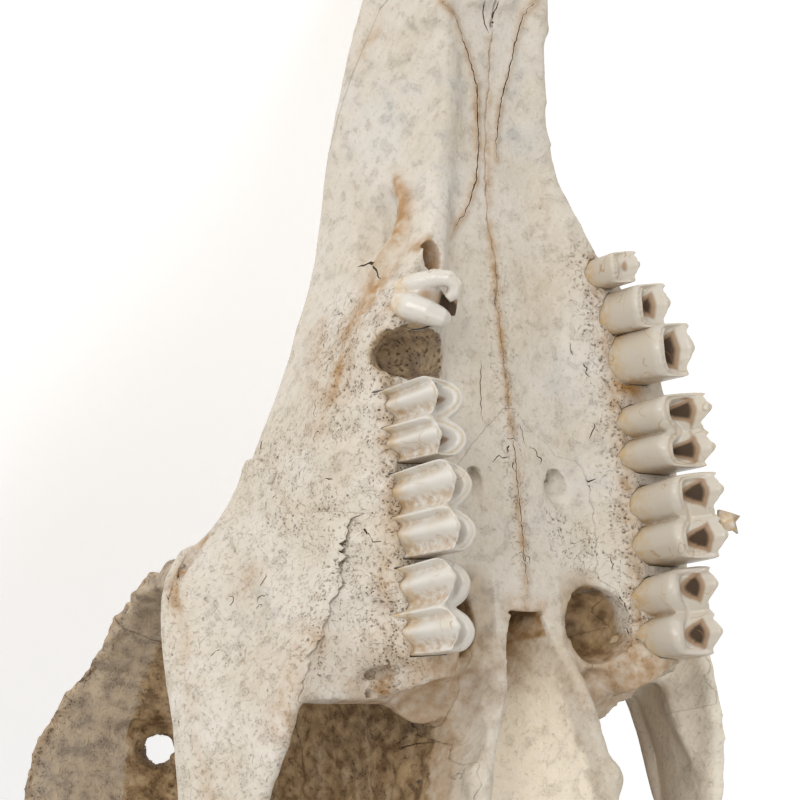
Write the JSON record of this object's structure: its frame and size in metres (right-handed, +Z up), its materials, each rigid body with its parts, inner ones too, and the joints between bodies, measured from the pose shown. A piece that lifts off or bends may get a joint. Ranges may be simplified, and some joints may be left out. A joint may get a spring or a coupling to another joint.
{
  "type": "reedbuck skull",
  "caption": "Life-size dry skull of a horned reedbuck ram without its lower jaw, lying upside down so that the palate and the upper cheek teeth face up.",
  "frame": {"origin": "centre of the bounding box at floor level", "axes": "+X to the animal's right, +Y from the nose towards the horn tips, +Z up, which is the palate side of the skull as it lies"},
  "size_m": [0.2252, 0.3892, 0.1944],
  "materials": {
    "bone": "dry, matte, porous, stained ochre",
    "teeth": "glossy enamel with cream stains",
    "horn": "dark fibrous horn with a dull sheen"
  },
  "bodies": {
    "root": {"braincase": "bone", "frontal": "bone", "lacrimal_left": "bone", "lacrimal_right": "bone", "maxilla_left": "bone", "maxilla_right": "bone", "nasal_left": "bone", "nasal_right": "bone", "palatine": "bone", "premaxilla_left": "bone", "premaxilla_right": "bone", "zygomatic_left": "bone", "zygomatic_right": "bone", "horn_left": "horn", "horn_right": "horn"}
  },
  "joints": []
}
